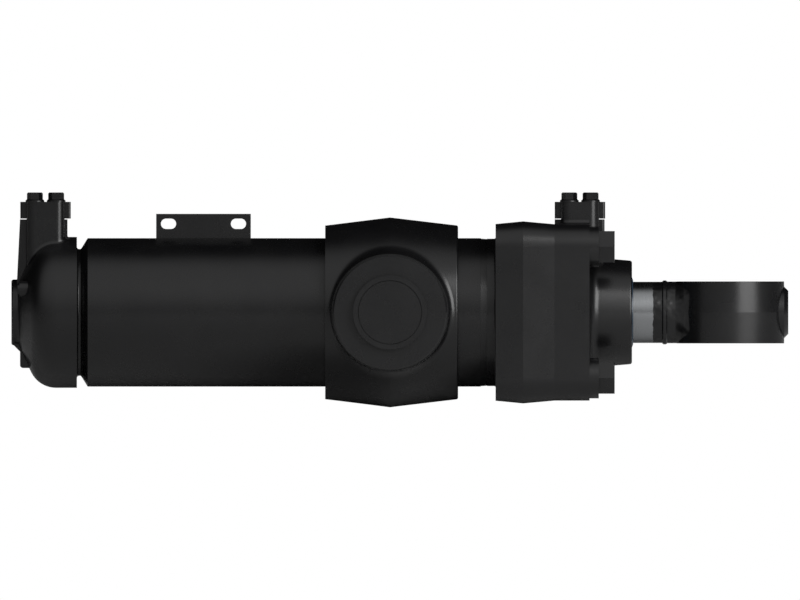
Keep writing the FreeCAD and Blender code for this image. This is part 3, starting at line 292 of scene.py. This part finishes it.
# %% The enamels
# Alkyd enamel on cold drawn tube: only the 3 mm orange peel of the spray gun
drawn_enamel = enamel("enamel_on_drawn_tube", "#080809", 3.0, 0.012, 0.27)
# The same enamel on sand cast steel: a dense grain of 2.2 mm, a little duller
cast_enamel = enamel("enamel_on_casting", "#09090a", 2.2, 0.05, 0.29)
# On die forged steel: shallow waves of 6 mm where the scale came off
forged_enamel = enamel("enamel_on_forging", "#09090a", 6.0, 0.05, 0.28)
# On milled and turned steel: the flattest skin of all
machined_enamel = enamel("enamel_on_machined_steel", "#080809", 3.5, 0.01, 0.27)
print("enamels:", [m.name for m in bpy.data.materials if m.name.startswith("enamel")])

# %% [markdown]
# The neck of the rod eye
#
# The eye is friction welded to the rod. Its neck is left as forged and its paint is thick
# and lumpy there, like the rod's own painted end, while its ring is turned smooth. The
# eye gets the forging's enamel again, with broad lumps laid over the fine waves. They
# are full on the neck and fade out before the ring.

# %% Enamel with a lumpy neck
LUMP_MM = 13
LUMP_DEPTH_MM = 1.8
NECK_END = 384 * MM
RING_START = 391 * MM

# Thick brushed enamel on an as forged neck: lights break up into soft blots
eye_enamel = enamel("enamel_on_eye_forging", "#09090a", 6.0, 0.05, 0.28)
tree = eye_enamel.node_tree
place = tree.nodes["place"]
lumps = add(tree, "ShaderNodeTexNoise", {"Vector": place.outputs["Object"]},
            {"Scale": 1 / (LUMP_MM * MM), "Detail": 1})
along = add(tree, "ShaderNodeSeparateXYZ", {"Vector": place.outputs["Object"]})
neck = add(tree, "ShaderNodeMapRange", {"Value": along.outputs["X"]},
           {"From Min": NECK_END, "From Max": RING_START, "To Min": 1.0, "To Max": 0.0})
height = add(tree, "ShaderNodeMath", {0: lumps.outputs["Fac"], 1: neck.outputs[0]}, operation="MULTIPLY")
hammered = add(tree, "ShaderNodeBump",
               {"Height": height.outputs[0], "Normal": tree.nodes["relief"].outputs["Normal"]},
               {"Strength": 1.0, "Distance": LUMP_DEPTH_MM * MM})
tree.links.new(hammered.outputs["Normal"], tree.nodes["Principled BSDF"].inputs["Normal"])
print("lumps end", RING_START, "m along")

# %% [markdown]
# The chromed rod
#
# The rod is hard chrome, ground and polished: almost a mirror, with very fine rings
# left by the grinding wheel. The rings are a noise that is stretched round the rod, by
# squeezing its Y and Z. Real ones are finer, but they would vanish at this size, so they
# are drawn 0.8 mm apart.

# %% Chrome
RING_MM = 0.8
RING_SQUEEZE = 0.02
RING_DEPTH_MM = 0.01
CHROME_GLOSS = {"To Min": 0.2, "To Max": 0.28}

# Ground hard chrome: cool and bright, drawn out into a streak along the bar
rod_finish, tree, chrome = new_finish("ground_hard_chrome")
chrome.inputs["Base Color"].default_value = linear("#9fa1a3")
chrome.inputs["Metallic"].default_value = 1.0
place = add(tree, "ShaderNodeTexCoord")
stretched = add(tree, "ShaderNodeMapping", {"Vector": place.outputs["Object"]},
                {"Scale": (1.0, RING_SQUEEZE, RING_SQUEEZE)})
rings = add(tree, "ShaderNodeTexNoise", {"Vector": stretched.outputs[0]},
            {"Scale": 1 / (RING_MM * MM), "Detail": 3.0})
gloss = add(tree, "ShaderNodeMapRange", {"Value": rings.outputs["Fac"]}, {**NOISE_RANGE, **CHROME_GLOSS})
tree.links.new(gloss.outputs[0], chrome.inputs["Roughness"])
ridge = add(tree, "ShaderNodeBump", {"Height": rings.outputs["Fac"]},
            {"Strength": 0.4, "Distance": RING_DEPTH_MM * MM})
tree.links.new(ridge.outputs["Normal"], chrome.inputs["Normal"])
print("chrome has rings", RING_MM, "mm apart")

# %% [markdown]
# The painted end of the rod
#
# The rod was masked with tape before the eye was sprayed, so its last stretch is black
# too, up to an edge that the tape left uneven. Chrome and paint could be two pieces, but
# the rod is one bar. So they are two shaders of one material, split by the place along
# the bar, and a noise is added to that place to make the edge wander.

# %% Overspray on the rod
PAINT_FROM = 343.7 * MM
TAPE_WAVE_MM = 7
TAPE_SLIP = 4.0 * MM
PAINT_BLUR = 0.3 * MM
PAINT_EDGE = PAINT_FROM + TAPE_SLIP / 2

lumps = add(tree, "ShaderNodeTexNoise", {"Vector": place.outputs["Object"]},
            {"Scale": 1 / (LUMP_MM * MM), "Detail": 1})
hammered = add(tree, "ShaderNodeBump", {"Height": lumps.outputs["Fac"]},
               {"Strength": 1.0, "Distance": LUMP_DEPTH_MM * MM})
# Enamel sprayed over smooth chrome: as black as the eye's, and as lumpy
overspray = add(tree, "ShaderNodeBsdfPrincipled", {"Normal": hammered.outputs["Normal"]},
                {"Base Color": linear("#09090a"), "Roughness": 0.28, "IOR": 1.5})
split = add(tree, "ShaderNodeSeparateXYZ", {"Vector": place.outputs["Object"]})
tape = add(tree, "ShaderNodeTexNoise", {"Vector": place.outputs["Object"]},
           {"Scale": 1 / (TAPE_WAVE_MM * MM), "Detail": 2})
torn = add(tree, "ShaderNodeMath", {0: tape.outputs["Fac"], 2: split.outputs["X"]}, {1: TAPE_SLIP},
           operation="MULTIPLY_ADD")
masked = add(tree, "ShaderNodeMapRange", {"Value": torn.outputs[0]},
             {"From Min": PAINT_EDGE - PAINT_BLUR, "From Max": PAINT_EDGE + PAINT_BLUR})
both = add(tree, "ShaderNodeMixShader",
           {0: masked.outputs[0], 1: chrome.outputs[0], 2: overspray.outputs[0]})
tree.links.new(both.outputs[0], tree.nodes["Material Output"].inputs["Surface"])
print("rod is painted from", PAINT_FROM, "m")

# %% [markdown]
# Bare steel
#
# The bearing in the eye is ground steel, the pieces inside are turned, and the circlips
# are blackened spring steel. All are metal with a lay that is finer or coarser, so one
# function gives them their cut: the lay changes the gloss and dents the surface a little.

# %% Steel, as cut
LAY_DEPTH_MM = 0.01
LAY_SMOOTHER = 0.05
LAY_ROUGHER = 0.07


def cut_steel(name, hex_value, lay_mm, rough):
    material, tree, steel = new_finish(name)
    steel.inputs["Base Color"].default_value = linear(hex_value)
    steel.inputs["Metallic"].default_value = 1.0
    place = add(tree, "ShaderNodeTexCoord")
    lay = add(tree, "ShaderNodeTexNoise", {"Vector": place.outputs["Object"]},
              {"Scale": 1 / (lay_mm * MM), "Detail": 3})
    spread = add(tree, "ShaderNodeMapRange", {"Value": lay.outputs["Fac"]},
                 {**NOISE_RANGE, "To Min": rough - LAY_SMOOTHER, "To Max": rough + LAY_ROUGHER})
    tree.links.new(spread.outputs[0], steel.inputs["Roughness"])
    relief = add(tree, "ShaderNodeBump", {"Height": lay.outputs["Fac"]},
                 {"Strength": 0.3, "Distance": LAY_DEPTH_MM * MM})
    tree.links.new(relief.outputs["Normal"], steel.inputs["Normal"])
    return material


# Ground bearing steel: bright, with a fine satin
bearing_steel = cut_steel("ground_bearing_steel", "#b9bbbd", 1.2, 0.24)
# Turned steel: a shade darker and rougher than ground
turned_steel = cut_steel("turned_steel", "#a4a5a6", 0.8, 0.34)
# Black oxide on spring steel: dark, but still a metal's shine
oxide_steel = cut_steel("black_oxide_spring_steel", "#3a3b3d", 0.8, 0.4)
print("steels:", bearing_steel.name, turned_steel.name, oxide_steel.name)

# %% [markdown]
# Rubber, polyurethane and guide rings
#
# Seals are dull black rubber or blue polyurethane, slide rings are filled with bronze,
# and guide rings are woven fabric in resin. None of them is metal, and each is mottled a
# little by what it is filled with. One function makes them, from the filler's size.

# %% Moulded pieces
MOTTLE = {"To Min": 0.85, "To Max": 1.15}
MOULD_DEPTH_MM = 0.03


def moulded(name, hex_value, rough, grain_mm):
    material, tree, skin = new_finish(name)
    place = add(tree, "ShaderNodeTexCoord")
    texture = add(tree, "ShaderNodeTexNoise", {"Vector": place.outputs["Object"]},
                  {"Scale": 1 / (grain_mm * MM), "Detail": 3})
    lift = add(tree, "ShaderNodeMapRange", {"Value": texture.outputs["Fac"]}, {**NOISE_RANGE, **MOTTLE})
    tone = add(tree, "ShaderNodeHueSaturation", {"Value": lift.outputs[0]}, {"Color": linear(hex_value)})
    tree.links.new(tone.outputs[0], skin.inputs["Base Color"])
    relief = add(tree, "ShaderNodeBump", {"Height": texture.outputs["Fac"]},
                 {"Strength": 0.4, "Distance": MOULD_DEPTH_MM * MM})
    tree.links.new(relief.outputs["Normal"], skin.inputs["Normal"])
    skin.inputs["Roughness"].default_value = rough
    return material


# Moulded nitrile rubber: dull, nearly black
nitrile = moulded("moulded_nitrile_rubber", "#1a1a1a", 0.6, 0.9)
# Cast polyurethane: dark blue, with a soft sheen, seen as a ring round the rod
polyurethane = moulded("cast_polyurethane", "#20303f", 0.42, 1.5)
# Slide ring filled with bronze: brown, waxy
slide_ring = moulded("bronze_filled_slide_ring", "#5a4632", 0.5, 0.7)
# Cotton fabric bonded with resin: tan and dry
guide_fabric = moulded("resin_bonded_fabric", "#8a6d47", 0.6, 1.0)
print("finishes so far:", len(bpy.data.materials))

# %% [markdown]
# Dressing the pieces
#
# Every piece of the frame keeps its shape and gets one of these finishes. The list goes
# from the finish to its pieces, so that one glance shows what is made alike, and the
# count at the end tells whether a piece was forgotten.

# %% Finishes on the frame's pieces
finish_of = {
    drawn_enamel: ["barrel"],
    cast_enamel: ["cap_end", "gland"],
    forged_enamel: ["trunnion_band", "head_flange"],
    eye_enamel: ["rod_eye", "eye_weld_flash"],
    machined_enamel: [
        "cap_weld", "head_weld", "cap_bleed_plug", "trunnion_plug_near", "trunnion_plug_far", "hose_bracket",
        "gland_bolts", "cap_port_cover", "cap_port_bolts", "head_port_cover", "head_port_bolts",
    ],
    rod_finish: ["rod"],
    bearing_steel: ["bearing_inner_ring", "bearing_outer_race"],
    turned_steel: ["piston", "piston_nut", "nut_set_screw", "eye_grease_plug"],
    oxide_steel: ["circlip_upper", "circlip_lower"],
    nitrile: [
        "gland_o_ring", "piston_energiser", "piston_o_ring", "cap_port_o_ring", "head_port_o_ring",
        "dust_seal_upper", "dust_seal_lower",
    ],
    polyurethane: ["rod_seal", "rod_wiper"],
    slide_ring: ["gland_backup_ring", "buffer_seal", "piston_seal"],
    guide_fabric: ["rod_guide_inner", "rod_guide_outer", "piston_wear_ring_rear", "piston_wear_ring_front"],
}
dressed = 0
for finish, names in finish_of.items():
    for name in names:
        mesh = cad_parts[name].data
        mesh.materials.clear()
        mesh.materials.append(finish)
        dressed += 1
print("dressed", dressed, "of", len(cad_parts), "pieces")

# %% [markdown]
# The soft roots of the trunnion pins
#
# Each pin grows out of the forged ring with a root that is narrow beside the pin and wide
# above and below it, where the ring falls away. A die forged root has no one radius, so
# it could be sculpted by hand, but here it is drawn: a closed strip is spun round the
# pin, and then every point of it is set between the pin's flank and the ring's skin.
# It wears the ring's own enamel, and rides with the barrel. First come the sizes of pin
# and ring, and how deep the ring's skin lies at any place beside the pin.

# %% Sizes of the pin's root
PIN_ROOT_R = 76.5 * MM
RING_LEFT = 84.7 * MM
RING_RIGHT = 89.0 * MM
RING_END_R = 113.5 * MM
RING_CREST_R = 124.1 * MM
ROOT_BESIDE = 8.15 * MM
ROOT_ABOVE = 12.5 * MM
ROOT_SINK = 0.6 * MM


def ring_depth(x, z):
    length = RING_RIGHT if x > 0 else RING_LEFT
    radius = RING_CREST_R - (RING_CREST_R - RING_END_R) * abs(x) / length
    return math.sqrt(radius ** 2 - z ** 2)


print("ring is", round(ring_depth(0, PIN_ROOT_R) / MM, 1), "mm deep above the pin")

# %% [markdown]
# Placing the strip
#
# The strip has eleven lines. Their marks run from 1, at the pin's flank, to 2, on the
# ring's skin, and a last line with the mark 3 lies sunk in the steel, which closes the
# strip. Between the flank and the skin the section is a quarter of a circle that is
# slanted to fit both, so it leaves the pin and meets the ring without a step.

# %% A point of the strip
ROOT_STEPS = 10
SUNK_MARK = 3.0
MARKS = [1 + step / ROOT_STEPS for step in range(ROOT_STEPS + 1)] + [SUNK_MARK]


def root_point(turn, mark):
    across, up = math.cos(turn), math.sin(turn)
    if mark == SUNK_MARK:
        radius = PIN_ROOT_R - ROOT_SINK
        return radius * across, ring_depth(radius * across, radius * up) - ROOT_SINK, radius * up
    width = ROOT_BESIDE + (ROOT_ABOVE - ROOT_BESIDE) * up ** 2
    corner = ring_depth(PIN_ROOT_R * across, PIN_ROOT_R * up)
    outer = PIN_ROOT_R + width
    foot = ring_depth(outer * across, outer * up)
    climb = math.hypot(width, corner - foot)
    angle = (mark - 1) * math.pi / 2
    out, along = 1 - math.cos(angle), 1 - math.sin(angle)
    radius = PIN_ROOT_R + width * out
    return radius * across, corner + climb * along + (foot - corner) * out, radius * up


print("root starts", round(root_point(math.pi / 2, MARKS[0])[1] / MM, 1), "mm out, above the pin")

# %% [markdown]
# Spinning the strip
#
# The marks are used as radii for a first flat ring, which one full spin makes. That
# ring still knows which line each of its points is on, by the distance from the middle,
# and so each point can then be sent to its true place. The lines at the flank and on
# the skin stay sharp, because shading across them would show a dark thread.

# %% Pin roots
ROOT_TURNS = 144


def pin_root(name, side):
    shape = bmesh.new()
    strip = [shape.verts.new((mark, 0, 0)) for mark in MARKS]
    edges = [shape.edges.new((a, b)) for a, b in zip(strip, strip[1:] + strip[:1])]
    bmesh.ops.spin(shape, geom=strip + edges, cent=(0, 0, 0), axis=(0, 1, 0), angle=2 * math.pi,
                   steps=ROOT_TURNS, use_merge=True)
    for face in shape.faces:
        face.smooth = True
    for edge in shape.edges:
        first, second = (round(math.hypot(v.co.x, v.co.z), 3) for v in edge.verts)
        edge.smooth = first != second or first not in (MARKS[0], MARKS[ROOT_STEPS])
    for vertex in shape.verts:
        reach = math.hypot(vertex.co.x, vertex.co.z)
        mark = min(MARKS, key=lambda m: abs(m - reach))
        x, y, z = root_point(math.atan2(vertex.co.z, vertex.co.x), mark)
        vertex.co = (x, side * y, z)
    bmesh.ops.recalc_face_normals(shape, faces=shape.faces)
    mesh = bpy.data.meshes.new(name)
    shape.to_mesh(mesh)
    shape.free()
    mesh.materials.append(forged_enamel)
    piece = bpy.data.objects.new(name, mesh)
    scene.collection.objects.link(piece)
    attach(piece, "cylinder")
    return piece


pin_roots = [pin_root("pin_root_near", -1), pin_root("pin_root_far", 1)]
print("pin roots:", [(piece.name, len(piece.data.polygons)) for piece in pin_roots])
